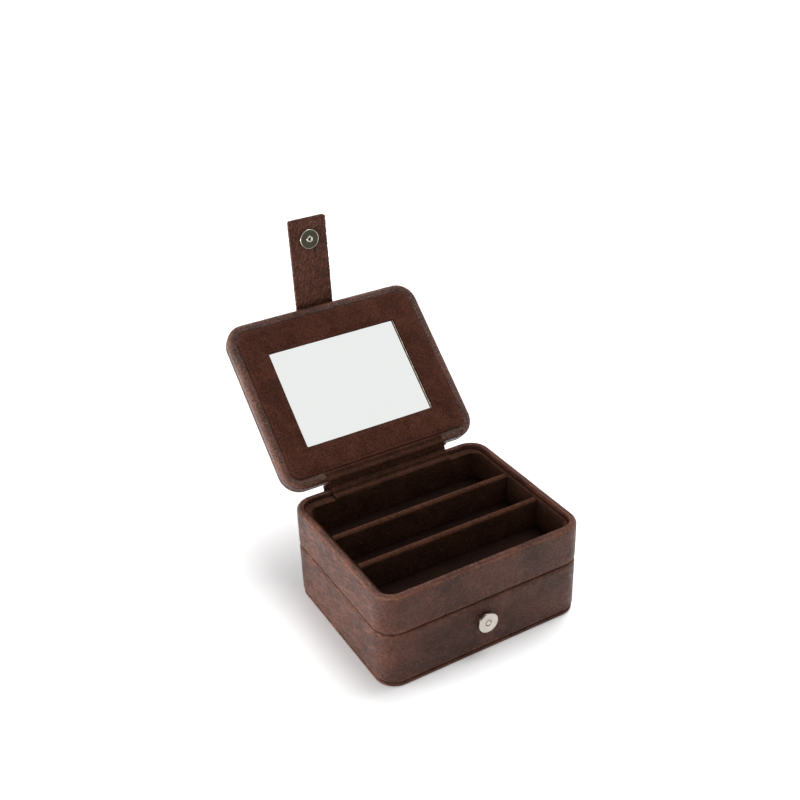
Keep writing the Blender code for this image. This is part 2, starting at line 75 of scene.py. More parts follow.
# The case. Insets go inwards from its outline.
CORNER_RADIUS = 14.5 * MM
TIGHTEST_CORNER = 1.5 * MM
RIM = 4.6 * MM  # leather, board and turned-in leather together
TOP_ROUND = 2.8 * MM
RIM_INNER_ROUND = 0.8 * MM
LIP_ROUND = 2.9 * MM
SKIN = 1.0 * MM
TURN_IN = 0.7 * MM
TURN_IN_DEPTH = 7 * MM
LINING_START = 5.0 * MM
LINING_END = 7.6 * MM
REAR_LINING = 11.5 * MM
SLAB_MIDDLE = 6 * MM  # half the depth of a slab's innermost ring
SLAB_STEPS = 12
SIDE_STEPS = 110
CORNER_STEPS = 18

# Dividers, stud holes and ring rolls
DIVIDER_STEPS = 90
DIVIDER_FOOT = 0.3 * MM
STUD_DROP = 11.5 * MM  # from a divider's top down to its row of holes
REAR_STUDS = (-47.5, -28, 28.5, 47.5)
FRONT_STUDS = (-45, -27.5, -7.5, 11.5)
ROLL_COUNT = 5
ROLL_GAP = 0.4 * MM
ROLL_FOOT = 1.2 * MM
ROLL_DRAWN_END = 3.2 * MM

# Cloth simulation of the stuffed covers
CLOTH_FRAMES = 20
STUFFING_PRESSURE = 4.0

# The lid's own frame: x across, v up from the hinge edge, t from the suede face outwards
LID_SLOPE = radians(42)
PIVOT_V = -0.42 * MM
PIVOT_T = 3.5 * MM
LID_LENGTH = 125 * MM
LID_THICKNESS = 10.5 * MM
LID_FRAME = 7.0 * MM
LID_FACE_ROUND = 3.0 * MM
LID_SKIN = 0.8 * MM
PAD_INSET = 6.4 * MM
PAD_PROUD = 0.8 * MM
LID_SIDE_STEPS = 230  # fine enough for the rim's pleats
LID_CORNER_STEPS = 30
MIRROR_OPENING = (99.8 * MM, 72.1 * MM)
MIRROR_CENTRE_X = -0.4 * MM

# The strap: two layers of leather, folded where it leaves the lid
STRAP_WIDTH = 28.6 * MM
STRAP_LAYER = 0.95 * MM
STRAP_GAP = 0.3 * MM
STRAP_TIP = 66.7 * MM
STRAP_SNAP = 51.8 * MM
STRAP_REST = radians(45)
STRAP_TIP_ROUND = 1.8 * MM
STRAP_X = -0.7 * MM
STRAP_ANCHOR = 22 * MM
STRAP_FOLD_RADIUS = 4.5 * MM

# Hinge leathers and the stitches along the spine
HINGE_LEATHER_WIDTH = 97 * MM
HINGE_LINING_WIDTH = 91 * MM
STRIP_EDGE = 0.3 * MM
GRAIN_TILT = 0.28  # radians that the hide's creases slant from the level
STITCH_LENGTH = 2.3 * MM
STITCH_THICK = 0.42 * MM
STITCH_RISE = 0.30 * MM
STITCH_SUNK = 0.16 * MM
STITCH_SPACING = 3.4 * MM
STITCH_ROW_END = 44 * MM
STITCH_INSET = 2.6 * MM

# Both halves of the snap
SNAP_CENTRE = (Vector(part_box("snap_face_plate")[0]) + Vector(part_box("snap_face_plate")[1])) / 2
SNAP_RADIUS = 7.1 * MM
CUP_RADIUS = 6.4 * MM
CUP_TOP = 2.9 * MM
PEG_RADIUS = 1.75 * MM

# Studio and camera
WORLD_STRENGTH = 0.45
FLOOR_GLOW = 0.08
FLOOR_HALF = 12.0
KEY_POWER = 3.3
KEY_SPREAD = radians(42)
KEY_DIRECTION = Vector((-0.36, -0.20, -0.90))
CAMERA_AZIMUTH = radians(-29.42)
CAMERA_ELEVATION = radians(29.565)
CAMERA_ROLL = radians(-2.0)
CAMERA_DISTANCE = 0.743
CAMERA_TARGET = Vector((0.00637, 0.05183, 0.1273))
CAMERA_LENS = 50.3


# ---- mesh helpers

def arc(centre, radius, start, end, steps):
    """Points on a circle from start to end, both in degrees."""
    turns = np.radians(np.linspace(start, end, steps + 1))
    return [(centre[0] + radius * cos(a), centre[1] + radius * sin(a)) for a in turns]


def rounded_rectangle(low, high, radius, side=SIDE_STEPS, corner=CORNER_STEPS):
    """A rectangle with round corners, with as many points on each side whatever its size."""
    corners = ((high[0], low[1], 1, -1, 270), (high[0], high[1], 1, 1, 0),
               (low[0], high[1], -1, 1, 90), (low[0], low[1], -1, -1, 180))
    arcs = []
    for x, y, side_x, side_y, start in corners:
        arcs.append(arc((x - side_x * radius, y - side_y * radius), radius, start, start + 90, corner))
    points = []
    for index, bend in enumerate(arcs):
        following = arcs[(index + 1) % 4][0]
        points += bend
        for step in range(1, side):
            share = step / side
            points.append((bend[-1][0] + (following[0] - bend[-1][0]) * share,
                           bend[-1][1] + (following[1] - bend[-1][1]) * share))
    return np.array(points)


def case_outline(inset, rear=None):
    """The case's outline seen from above; rear gives the inset of its back where that differs."""
    low = (-WIDTH / 2 + inset, -DEPTH / 2 + inset)
    high = (WIDTH / 2 - inset, DEPTH / 2 - (inset if rear is None else rear))
    return rounded_rectangle(low, high, max(CORNER_RADIUS - inset, TIGHTEST_CORNER))


def lid_outline(inset, side=SIDE_STEPS, corner=CORNER_STEPS):
    """The lid's outline in (x, v)."""
    low = (-WIDTH / 2 + inset, inset)
    high = (WIDTH / 2 - inset, LID_LENGTH - inset)
    return rounded_rectangle(low, high, max(CORNER_RADIUS - inset, TIGHTEST_CORNER), side, corner)


def densified(profile, spacing):
    """Adds points along the straight runs of a closed profile of (inset, height, wear)."""
    dense = []
    for here, there in zip(profile, profile[1:] + profile[:1]):
        length = sqrt((there[0] - here[0]) ** 2 + (there[1] - here[1]) ** 2)
        steps = max(1, round(length / spacing))
        for step in range(steps):
            share = step / steps
            dense.append(tuple(a + (b - a) * share for a, b in zip(here, there)))
    return dense


def with_wear(points, wear_and_light):
    return [(a, b, wear_and_light) for a, b in points]


def set_wear_and_light(mesh, values):
    """Stores how rubbed each point is, from 0 to 1, where the materials read it; on the hinge leather the
    same value marks painted light.
    """
    mesh.attributes.new("wear_and_light", "FLOAT", "POINT").data.foreach_set("value", np.asarray(values, np.float32))


def make(name, points, faces, material, wear_and_light=None, smooth=35):
    """A mesh object, smooth but for edges sharper than smooth degrees."""
    mesh = bpy.data.meshes.new(name)
    mesh.from_pydata([tuple(p) for p in points], [], faces)
    mesh.validate()
    mesh.shade_smooth()
    mesh.set_sharp_from_angle(angle=radians(smooth))
    if wear_and_light is not None:
        set_wear_and_light(mesh, wear_and_light)
    mesh.materials.append(material)
    obj = bpy.data.objects.new(name, mesh)
    bpy.context.scene.collection.objects.link(obj)
    return obj


def loft(name, rings, material, body=None, closed=False, wear_and_light=None, smooth=35):
    """Skins rings of equally many points; wear is one value for each ring."""
    rings = np.asarray(rings, float)
    count, around = rings.shape[:2]
    faces = []
    for r in range(count if closed else count - 1):
        a, b = r * around, ((r + 1) % count) * around
        for i in range(around):
            j = (i + 1) % around
            faces.append((a + i, a + j, b + j, b + i))
    if not closed:
        faces.append(tuple(reversed(range(around))))
        faces.append(tuple(range((count - 1) * around, count * around)))
    values = None if wear_and_light is None else np.repeat(np.asarray(wear_and_light, float), around)
    obj = make(name, rings.reshape(-1, 3), faces, material, values, smooth)
    face_outwards(obj)
    if body:
        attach(obj, body)
    return obj


def face_outwards(obj):
    """Turns the faces over if the closed mesh is inside out."""
    mesh = obj.data
    mesh.calc_loop_triangles()
    points = np.empty(len(mesh.vertices) * 3)
    mesh.vertices.foreach_get("co", points)
    points = points.reshape(-1, 3)
    triangles = np.empty(len(mesh.loop_triangles) * 3, int)
    mesh.loop_triangles.foreach_get("vertices", triangles)
    corners = points[triangles.reshape(-1, 3)]
    volume = np.einsum("ij,ij->i", corners[:, 0], np.cross(corners[:, 1], corners[:, 2])).sum()
    if volume < 0:
        mesh.flip_normals()


def displaced(obj, height):
    """Moves each point along its normal by what height says for its place."""
    mesh = obj.data
    moved = [vertex.co + vertex.normal * height(vertex.co) for vertex in mesh.vertices]
    mesh.vertices.foreach_set("co", np.array(moved).ravel())
    mesh.update()


def uneven(obj, amount, size, seed=0.0):
    """Gives a surface the soft unevenness of leather or suede stretched by hand."""
    shift = Vector((seed, seed * 1.7, -seed))

    def height(place):
        place = place / size + shift
        return amount * (noise.noise(place) + 0.45 * noise.noise(place * 2.7))

    displaced(obj, height)


def creased(obj, amount, across, along, seed=0.0):
    """Presses in creases that run along Y and a little downwards, as the hide's own grain does."""

    def height(place):
        x, y, z = place
        run = (y * cos(GRAIN_TILT) + z * sin(GRAIN_TILT)) / along
        side = (z * cos(GRAIN_TILT) - y * sin(GRAIN_TILT)) / across
        fold = abs(noise.noise((x / across + seed, run, side)))
        fold += 0.5 * abs(noise.noise((x / across, run * 2, side * 2)))
        return amount * (fold - 0.3)

    displaced(obj, height)


def wrinkled(obj, amount):
    """Presses long slanting wrinkles into the strap's faces."""

    def height(place):
        x, y, z = place
        across, along = x + 0.45 * z, z - 0.45 * x
        fold = abs(noise.noise((across / (1.25 * MM), along / (5.5 * MM), y / (9 * MM))))
        fold += 0.5 * abs(noise.noise((across / (0.7 * MM), along / (3 * MM), 4.0)))
        return amount * (min(fold, 0.5) - 0.22)

    displaced(obj, height)


def stuffed(obj, cap):
    """Swells a closed cover by cloth simulation, each point at most cap from where it started."""
    mesh = obj.data
    before = np.empty(len(mesh.vertices) * 3)
    mesh.vertices.foreach_get("co", before)
    cloth = obj.modifiers.new("stuffing", "CLOTH")
    cloth.settings.quality = 6
    cloth.settings.mass = 0.15
    cloth.settings.tension_stiffness = cloth.settings.compression_stiffness = 25
    cloth.settings.bending_stiffness = 2
    cloth.settings.use_pressure = True
    cloth.settings.uniform_pressure_force = STUFFING_PRESSURE
    cloth.settings.effector_weights.gravity = 0
    cloth.point_cache.frame_end = CLOTH_FRAMES
    for number in range(1, CLOTH_FRAMES + 1):
        bpy.context.scene.frame_set(number)
    swollen = obj.evaluated_get(bpy.context.evaluated_depsgraph_get()).data
    after = np.empty(len(before))
    swollen.vertices.foreach_get("co", after)
    obj.modifiers.remove(cloth)
    bpy.context.scene.frame_set(1)
    shift = (after - before).reshape(-1, 3)
    far = np.linalg.norm(shift, axis=1)[:, None]
    shift *= np.minimum(1, cap / np.maximum(far, 1e-9))
    mesh.vertices.foreach_set("co", before + shift.ravel())
    mesh.update()


def worn_arc(centre, radius, start, end, steps, middle, peak, spread=24):
    """An arc of (inset, height, wear) that is rubbed most where it turns through the middle angle."""
    angles = np.linspace(start, end, steps + 1)
    wears = peak * np.exp(-((angles - middle) / spread) ** 2)
    return [(a, b, wear_and_light) for (a, b), wear_and_light in zip(arc(centre, radius, start, end, steps), wears)]


def case_ring(name, profile, material, body, rear=None):
    """A ring round the case from a closed profile of (inset, height, wear)."""
    rings = []
    for inset, z, _ in profile:
        use_rear = rear if rear and inset > LINING_END - 0.9 * MM else None
        rings.append([(x, y, z) for x, y in case_outline(inset, use_rear)])
    return loft(name, rings, material, body, closed=True, wear_and_light=[p[2] for p in profile])


def on_lid(points, t):
    """World places of points (x, v) of the open lid, at depth t."""
    turn = Matrix.Rotation(LID_SLOPE, 3, "X")
    return [LID_PIVOT + turn @ Vector((x, v - PIVOT_V, PIVOT_T - t)) for x, v in points]


def band(name, path, material, width, thickness, columns, ends=None, middle=0.0, taper=None):
    """A strip across the case along a path of (y, z), with its thickness to the right of the path.

    ends gives half the width for each point of the path, and taper the share of the thickness there.
    """
    rings = []
    for index, (y, z) in enumerate(path):
        before, after = path[max(index - 1, 0)], path[min(index + 1, len(path) - 1)]
        along = Vector((after[0] - before[0], after[1] - before[1])).normalized()
        normal = Vector((along.y, -along.x))
        half = width / 2 if ends is None else ends[index]
        full = thickness * (1 if taper is None else taper[index])
        first = thickness - full
        soft = min(0.35 * full, STRIP_EDGE)
        across = np.linspace(-half + soft, half - soft, columns)
        section = [(x, first) for x in across] + [(half, first + soft), (half, thickness - soft)]
        section += [(x, thickness) for x in across[::-1]]
        section += [(-half, thickness - soft), (-half, first + soft)]
        rings.append([(x + middle, y + normal.x * h, z + normal.y * h) for x, h in section])
    return loft(name, rings, material)


def rounded_ends(lengths, width, radius):
    """Half the width of a strip along its run, with all four corners round."""
    halves = []
    for run in lengths:
        left = min(run, lengths[-1] - run)
        cut = radius - sqrt(max(0.0, radius ** 2 - max(0.0, radius - left) ** 2))
        halves.append(width / 2 - cut)
    return halves


def stitches(name, places, along, out, body, material):
    """A row of sewn stitches: each a short thread that rises from one hole and goes into the next."""
    steps, around = 8, 8
    points, faces = [], []
    along, out = Vector(along).normalized(), Vector(out).normalized()
    side = along.cross(out)
    for place in places:
        first = len(points)
        for step in range(steps + 1):
            share = step / steps
            rise = sin(pi * share)
            centre = Vector(place) + along * STITCH_LENGTH * (share - 0.5)
            centre += out * (STITCH_RISE * rise - STITCH_SUNK)
            radius = STITCH_THICK / 2 * (0.55 + 0.45 * rise)
            for turn in range(around):
                angle = 2 * pi * turn / around
                points.append(centre + (out * cos(angle) + side * sin(angle)) * radius)
        for step in range(steps):
            ring = first + step * around
            for turn in range(around):
                a, b = ring + turn, ring + (turn + 1) % around
                faces.append((a, b, b + around, a + around))
        last = first + steps * around
        faces.append(tuple(range(first, first + around)))
        faces.append(tuple(range(last + around - 1, last - 1, -1)))
    obj = make(name, points, faces, material)
    face_outwards(obj)
    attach(obj, body)


def turned(name, profile, centre, axis, material, body, steps=96):
    """A round piece: a closed profile of (radius, along) about an axis through its centre."""
    axis = Vector(axis).normalized()
    side = axis.orthogonal().normalized()
    other = axis.cross(side)
    rings = []
    for step in range(steps):
        angle = 2 * pi * step / steps
        out = side * cos(angle) + other * sin(angle)
        rings.append([Vector(centre) + out * radius + axis * along for radius, along in profile])
    return loft(name, rings, material, body, closed=True, smooth=40)


# ---- materials

class Shader:
    """A material under construction: short calls that add and join nodes."""

    def __init__(self, name):
        self.material = bpy.data.materials.new(name)
        self.material.use_nodes = True
        self.tree = self.material.node_tree
        self.bsdf = self.tree.nodes["Principled BSDF"]

    def add(self, kind, inputs=(), **settings):
        node = self.tree.nodes.new("ShaderNode" + kind)
        for key, value in settings.items():
            setattr(node, key, value)
        for key, value in dict(inputs).items():
            self.feed(node.inputs[key], value)
        return node

    def feed(self, socket, value):
        if isinstance(value, bpy.types.NodeSocket):
            self.tree.links.new(value, socket)
        else:
            socket.default_value = value

    def set(self, **values):
        for key, value in values.items():
            self.feed(self.bsdf.inputs[key.replace("_", " ")], value)

    def place(self, stretch=(1, 1, 1), turn=(0, 0, 0)):
        """The object's own coordinates, turned and then stretched along each axis."""
        where = self.add("TexCoord").outputs["Object"]
        inputs = {"Vector": where, "Scale": stretch, "Rotation": turn}
        return self.add("Mapping", inputs, vector_type="TEXTURE").outputs["Vector"]

    def noise(self, scale, detail=3.0, rough=0.55, vector=None, distortion=0.0):
        inputs = {"Vector": vector or self.place(), "Scale": scale, "Detail": detail, "Roughness": rough,
                  "Distortion": distortion}
        return self.add("TexNoise", inputs).outputs["Fac"]

    def cells(self, scale, vector=None, feature="DISTANCE_TO_EDGE"):
        inputs = {"Vector": vector or self.place(), "Scale": scale}
        return self.add("TexVoronoi", inputs, feature=feature).outputs["Distance"]

    def span(self, value, low, high, to_low=0.0, to_high=1.0):
        inputs = {"Value": value, "From Min": low, "From Max": high, "To Min": to_low, "To Max": to_high}
        return self.add("MapRange", inputs, interpolation_type="SMOOTHSTEP").outputs["Result"]

    def math(self, operation, a, b=0.0):
        return self.add("Math", {0: a, 1: b}, operation=operation).outputs[0]

    def mix(self, share, a, b, blend="MIX"):
        node = self.add("Mix", data_type="RGBA", blend_type=blend)
        self.feed(node.inputs["Factor"], share)
        self.feed(node.inputs[6], a)
        self.feed(node.inputs[7], b)
        return node.outputs[2]

    def attribute(self, name):
        return self.add("Attribute", attribute_name=name).outputs["Fac"]

    def bump(self, height, strength, distance, under=None):
        inputs = {"Height": height, "Strength": strength, "Distance": distance}
        if under is not None:
            inputs["Normal"] = under
        return self.add("Bump", inputs).outputs["Normal"]


def tint(colour, factor=1.0):
    """A colour made lighter or darker, with the alpha that a socket takes."""
    return (*[min(1, part * factor) for part in colour], 1)


def leather(name, dark, light, worn_and_lit, creases=0.8, pebble=0.35, gloss=0.36, size=1.0, reach=6.0, shine=0.2,
            cracks=0.0):
    """Aniline leather: cloudy colour, slanting creases, fine pores, rubbed edges, and grain ridges painted
    lighter and creases darker, partly own tone and partly painted highlight and shade.

    reach stretches the creases; cracks opens a web of cracks and sets the painted shade along them. Bump
    depths are in metres.
    """
    s = Shader(name)
    cloud = s.span(s.noise(26, 5, 0.62, None, 0.5), 0.36, 0.66)
    patch = s.span(s.noise(90, 4, 0.65), 0.42, 0.7)
    colour = s.mix(cloud, tint(dark), tint(light))
    colour = s.mix(s.math("MULTIPLY", patch, 0.45), colour, tint(dark, 0.62))
    drawn = s.place((1, reach, 1), (-GRAIN_TILT, 0, 0))
    lines = s.span(s.noise(620 * size, 4, 0.7, drawn, 0.3), 0.36, 0.64)
    pores = s.span(s.noise(780 * size, 3, 0.75), 0.36, 0.66)
    tone = s.math("ADD", s.math("MULTIPLY", lines, 0.5), s.math("MULTIPLY", pores, 0.5))
    # Painted highlight and painted shade: the grain's ridges lighter and its creases darker, over the hide's
    # own tone.
    colour = s.mix(s.span(tone, 0.5, 1.0, 0.0, 0.55), colour, tint(light, 1.75))
    colour = s.mix(s.span(tone, 0.0, 0.5, 0.6, 0.0), colour, tint(dark, 0.45))
    if cracks:
        web = s.cells(520, s.place((1, 1, 4.6), (0, 0.42, 0)))
        # Painted shade: the colour darkens along the crack lines.
        crack_shade = s.span(web, 0.0, 0.17, cracks, 0.0)
        colour = s.mix(crack_shade, colour, tint(dark, 0.35))
    spots = s.span(s.noise(620, 5, 0.75), 0.34, 0.60)
    areas = s.span(s.noise(70, 3), 0.35, 0.6, 0.35, 1.0)
    # The rubbed colour is worn leather on edges, and painted light on the hinge leather above the tray's rim.
    rubbed = s.math("MULTIPLY", s.attribute("wear_and_light"), s.math("MULTIPLY", spots, areas))
    colour = s.mix(rubbed, colour, tint(worn_and_lit))
    normal = s.bump(lines, creases, 0.0007)
    if cracks:
        normal = s.bump(s.span(web, 0.0, 0.3), 1.0, 0.00035, normal)
    normal = s.bump(pores, pebble, 0.00022, normal)
    roughness = s.span(s.noise(150, 4, 0.6), 0.3, 0.7, gloss - 0.09, gloss + 0.13)
    s.set(Base_Color=colour, Roughness=roughness, Normal=normal, Specular_IOR_Level=shine)
    return s.material


def suede(name, deep, brushed, sheen):
    """Suede: a short nap that lies in lighter and darker sweeps."""
    s = Shader(name)
    sweep = s.span(s.noise(60, 5, 0.65, None, 0.8), 0.36, 0.66)
    grain = s.span(s.noise(850, 4, 0.8), 0.34, 0.68)
    colour = s.mix(sweep, tint(deep), tint(brushed))
    colour = s.mix(s.span(grain, 0.5, 1.0, 0.0, 0.55), colour, tint(brushed, 1.8))
    colour = s.mix(s.span(grain, 0.0, 0.5, 0.65, 0.0), colour, tint(deep, 0.35))
    rubbed = s.math("MULTIPLY", s.attribute("wear_and_light"), s.span(s.noise(520, 4, 0.8), 0.36, 0.62, 0.1, 0.8))
    colour = s.mix(rubbed, colour, tint(brushed, 2.0))
    normal = s.bump(grain, 0.5, 0.0004)
    normal = s.bump(s.noise(2400, 3, 0.8), 0.35, 0.0003, normal)
    s.set(Base_Color=colour, Normal=normal, Roughness=s.span(grain, 0, 1, 0.86, 1.0), Specular_IOR_Level=0.08,
          Sheen_Weight=sheen, Sheen_Roughness=0.4, Sheen_Tint=(0.55, 0.30, 0.20, 1))
    return s.material


def metal(name, colour, roughness, brush=1.0, variation=0.1):
    """Plated metal with fine scratches."""
    s = Shader(name)
    scratches = s.noise(900, 3, 0.7, s.place((1, 6, 1), (0.3, 0.2, 0.5)))
    tone = s.mix(s.span(s.noise(260, 3), 0.3, 0.7), tint(colour), tint(colour, 1 - variation))
    scratched = s.span(scratches, 0.3, 0.7, roughness, roughness + 0.12 * brush)
    s.set(Base_Color=tone, Metallic=1.0, Roughness=scratched, Normal=s.bump(scratches, 0.08 * brush, 0.0001))
    return s.material


def mirror_glass():
    """Silvered glass with a trace of smears."""
    s = Shader("mirror_silver")
    smear = s.span(s.noise(45, 4, 0.6), 0.45, 0.8, 0.006, 0.03)
    tone = s.mix(s.noise(30, 2), (0.90, 0.925, 0.905, 1), (0.92, 0.94, 0.925, 1))
    s.set(Base_Color=tone, Metallic=1.0, Roughness=smear)
    return s.material


def board_card():
    """Grey-brown board with fibres."""
    s = Shader("grey_board")
    fibre = s.noise(800, 4, 0.7, s.place((1, 5, 1)))
    s.set(Base_Color=s.mix(fibre, (0.22, 0.16, 0.11, 1), (0.34, 0.26, 0.18, 1)), Roughness=0.92,
          Normal=s.bump(fibre, 0.2, 0.0002))
    return s.material


LEATHER_DARK = (0.048, 0.0160, 0.0098)
LEATHER_LIGHT = (0.100, 0.0350, 0.0215)
LEATHER_WORN_AND_LIT = (0.190, 0.075, 0.041)
CASE_LEATHER = leather("case_leather", LEATHER_DARK, LEATHER_LIGHT, LEATHER_WORN_AND_LIT)
LID_LEATHER = leather("lid_leather", (0.040, 0.0133, 0.0080), (0.084, 0.0295, 0.0180), LEATHER_WORN_AND_LIT,
                      creases=0.55, pebble=0.6, gloss=0.24, shine=0.26)
STRAP_LEATHER = leather("strap_leather", (0.064, 0.0212, 0.0130), (0.132, 0.0455, 0.0275),
                        (0.02, 0.008, 0.005), creases=0.5, pebble=0.4, gloss=0.30, size=0.8, reach=2.0,
                        shine=0.16, cracks=0.6)
# Dark edge paint; beside the mirror's ground edge it also serves as a painted shadow.
EDGE_PAINT_AND_SHADOW = leather("painted_edge", (0.020, 0.008, 0.005), (0.032, 0.013, 0.008), (0.05, 0.02, 0.012),
                     creases=0.1)
THREAD = leather("waxed_thread", (0.05, 0.02, 0.012), (0.09, 0.038, 0.022), (0.12, 0.05, 0.03), pebble=0.6)
TRAY_SUEDE = suede("tray_suede", (0.021, 0.0075, 0.0042), (0.042, 0.0155, 0.0085), sheen=0.12)
# Darker than the walls' suede: painted shade for the floors of the deep channels.
FLOOR_SUEDE_PAINTED_SHADE = suede("floor_suede_painted_shade", (0.007, 0.0025, 0.0015), (0.013, 0.0047, 0.0026), sheen=0.02)
LID_SUEDE = suede("lid_suede", (0.036, 0.0118, 0.0073), (0.063, 0.0212, 0.0128), sheen=0.12)
HINGE_SUEDE = suede("hinge_suede", (0.022, 0.008, 0.0045), (0.042, 0.015, 0.0085), sheen=0.14)
LOWER_SUEDE = suede("ring_roll_suede", (0.026, 0.0095, 0.0055), (0.048, 0.018, 0.010), sheen=0.18)
# Lighter suede for the stud holes' lips: a painted highlight.
HOLE_LIP_PAINTED_HIGHLIGHT = suede("stud_hole_lip_painted_highlight", (0.045, 0.02, 0.012), (0.075, 0.035, 0.022), sheen=0.3)
SATIN_NICKEL = metal("satin_nickel", (0.54, 0.50, 0.455), 0.34)
BRIGHT_NICKEL = metal("bright_nickel", (0.52, 0.48, 0.40), 0.16, 0.6)
# Nickel coloured dark as a painted reflection of dark surroundings, for the strap's snap disc.
NICKEL_PAINTED_DARK_REFLECTION = metal("nickel_painted_dark_reflection", (0.046, 0.043, 0.031), 0.20, 0.6)
MIRROR = mirror_glass()
GLASS_EDGE = metal("ground_glass_edge", (0.78, 0.68, 0.52), 0.45, 0.8, 0.5)
BOARD = board_card()


# ---- tiers and tray

def wrap_profile(low, high):
    """The leather round a tier: turned under at its foot, rounded over the rim and turned in."""
    profile = [(LIP_ROUND + 0.3 * MM, low, 0.0)]
    profile += worn_arc((LIP_ROUND, low + LIP_ROUND), LIP_ROUND, 270, 180, 8, 205, 0.7)
    profile += [(0, low + LIP_ROUND + 1.5 * MM, 0.0), (0, high - TOP_ROUND - 1.5 * MM, 0.0)]
    profile += worn_arc((TOP_ROUND, high - TOP_ROUND), TOP_ROUND, 180, 90, 18, 142, 1.0, 17)
    profile += worn_arc((RIM - RIM_INNER_ROUND, high - RIM_INNER_ROUND), RIM_INNER_ROUND, 90, 0, 6, 50, 0.55)
    profile += [(RIM, high - TURN_IN_DEPTH, 0.0), (RIM - TURN_IN, high - TURN_IN_DEPTH, 0.0)]
    profile += [(RIM - TURN_IN, high - SKIN, 0.0)]
    profile += with_wear(arc((TOP_ROUND, high - TOP_ROUND), TOP_ROUND - SKIN, 90, 180, 6), 0.0)
    profile += with_wear(arc((LIP_ROUND, low + LIP_ROUND), LIP_ROUND - SKIN, 180, 270, 4), 0.0)
    profile += [(LIP_ROUND + 0.3 * MM, low + SKIN, 0.0)]
    return densified(profile, 1.0 * MM)


def lining_profile(low, high):
    """The suede-covered board inside a tier, with a half-round top."""
    half = (LINING_END - LINING_START) / 2
    top = arc((LINING_START + half, high - half), half, 180, 0, 12)
    profile = [(LINING_END, low, 0.0), (LINING_START, low, 0.0)] + with_wear(top, 0.0)
    return densified(profile, 1.6 * MM)


def slab(name, profile, material, body):
    """A plate over the case's outline, from its edge's profile. Its flat top goes on inwards in steps."""
    edge_inset, top, _ = profile[-1]
    deepest = DEPTH / 2 - SLAB_MIDDLE
    sections = list(profile)
    for step in range(1, SLAB_STEPS + 1):
        sections.append((edge_inset + (deepest - edge_inset) * step / SLAB_STEPS, top, 0.0))
    rings = [[(x, y, z) for x, y in case_outline(inset)] for inset, z, _ in sections]
    return loft(name, rings, material, body, wear_and_light=[section[2] for section in sections])


def rounded_edge(inset, low, high, radius, wear_and_light):
    """A plate's edge, rounded below and above."""
    steps = 5
    lower = with_wear(arc((inset + radius, low + radius), radius, 270, 180, steps), wear_and_light)
    upper = with_wear(arc((inset + radius, high - radius), radius, 180, 90, steps), wear_and_light)
    return lower + upper


def bottom_panels():
    """The leather panels under the case and under the tray."""
    inset = WIDTH / 2 - BASE_HIGH[0]
    edge = rounded_edge(inset, BASE_LOW[2], BASE_HIGH[2], 0.9 * MM, 0.7)
    panel = slab("base_panel_leather", edge, CASE_LEATHER, "base")
    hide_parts("base_panel")
    low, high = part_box("tray_bottom_panel")
    inset = WIDTH / 2 - high[0]
    edge = rounded_edge(inset, low[2], high[2], 0.4 * MM, 0.3)
    panel = slab("tray_underside_leather", edge, CASE_LEATHER, "tray")
    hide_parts("tray_bottom_panel")


def tiers():
    """Each tier's outer leather, wall lining and padded floor."""
    for body, low, high, node in (("base", LOWER_LOW[2], LOWER_HIGH[2], "lower_leather_wrap"),
                                  ("tray", TRAY_LOW[2], TRAY_HIGH[2], "tray_leather_wrap")):
        wrap = case_ring(node + "_skin", wrap_profile(low, high), CASE_LEATHER, body)
        uneven(wrap, 0.06 * MM, 17 * MM, low * 100)
        creased(wrap, 0.12 * MM, 2.4 * MM, 16 * MM, seed=low * 50)
        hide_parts(node)
    for body, low, high, node, rear in (
            ("base", LOWER_LINING_LOW[2], LOWER_LINING_HIGH[2], "lower_wall_lining", None),
            ("tray", TRAY_LINING_LOW[2], TRAY_LINING_HIGH[2], "tray_wall_lining", REAR_LINING)):
        lining = case_ring(node + "_suede", lining_profile(low, high), TRAY_SUEDE, body, rear)
        uneven(lining, 0.08 * MM, 9 * MM, low * 60)
        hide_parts(node)
    # The floor pads' suede is coloured darker as painted shade in the deep channels.
    for body, low, high, node in (("base", LOWER_PAD_LOW, LOWER_PAD_HIGH, "lower_floor_pad"),
                                  ("tray", TRAY_PAD_LOW, TRAY_PAD_HIGH, "tray_floor_pad")):
        inset = WIDTH / 2 - high[0]
        edge = rounded_edge(inset, low[2], high[2], 0.5 * MM, 0.0)
        pad = slab(node + "_suede", edge, FLOOR_SUEDE_PAINTED_SHADE, body)
        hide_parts(node)


def divider(node, body, axis):
    """A suede-wrapped partition with a soft top edge."""
    low, high = (Vector(corner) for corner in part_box(node))
    along, across = (0, 1) if axis == "X" else (1, 0)
    half = (high[across] - low[across]) / 2
    middle = (high[across] + low[across]) / 2
    outline = [(-half, low.z + DIVIDER_FOOT), (-half + DIVIDER_FOOT, low.z)]
    outline += [(half - DIVIDER_FOOT, low.z), (half, low.z + DIVIDER_FOOT)]
    outline += [(half, z) for z in np.linspace(low.z + 2 * MM, high.z - half - 1 * MM, 8)]
    outline += arc((0, high.z - half), half, 0, 180, 14)
    outline += [(-half, z) for z in np.linspace(high.z - half - 1 * MM, low.z + 2 * MM, 8)]
    wears = [0.7 if z > high.z - 1.6 * MM else 0.0 for _, z in outline]
    rings = []
    for place in np.linspace(low[along], high[along], DIVIDER_STEPS):
        ring = []
        for offset, z in outline:
            point = [0, 0, z]
            point[along] = place
            point[across] = middle + offset
            ring.append(point)
        rings.append(ring)
    obj = loft(node + "_suede", rings, TRAY_SUEDE)
    set_wear_and_light(obj.data, np.tile(wears, DIVIDER_STEPS))
    uneven(obj, 0.09 * MM, 8 * MM, low.y * 90)
    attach(obj, body)
    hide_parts(node)


